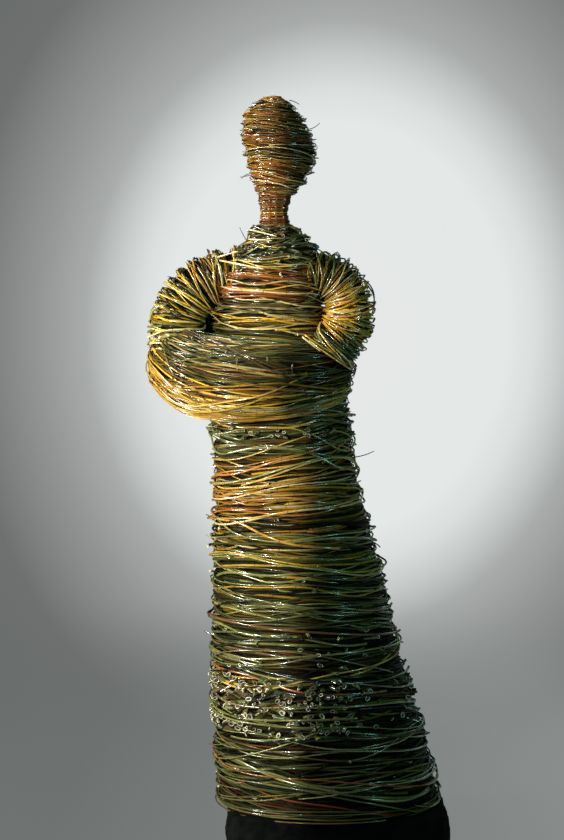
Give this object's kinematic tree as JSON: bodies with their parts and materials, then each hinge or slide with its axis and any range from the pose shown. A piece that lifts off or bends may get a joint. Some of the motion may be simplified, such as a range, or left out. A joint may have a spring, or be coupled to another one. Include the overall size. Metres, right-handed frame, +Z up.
{
  "type": "willow figure sculpture",
  "caption": "Life-size standing figure with folded arms, wound from willow rods, with an egg-shaped faceless head, a flaring skirt and a low black base.",
  "frame": {"origin": "centre of the base's underside", "axes": "+Z up, -Y the way the figure faces, +X towards the figure's own left arm"},
  "size_m": [0.7297, 0.5262, 1.7753],
  "materials": {
    "base_black": "rough matte black",
    "willow": "dried willow rods with glossy bark, golden, olive, orange-brown and dark green",
    "brown_willow": "fine dried willow rods with glossy orange-brown bark"
  },
  "bodies": {
    "root": {"base": "base_black", "body": "willow", "head_and_neck": "brown_willow", "right_arm": "willow", "left_arm": "willow", "forearms": "willow"}
  },
  "joints": []
}
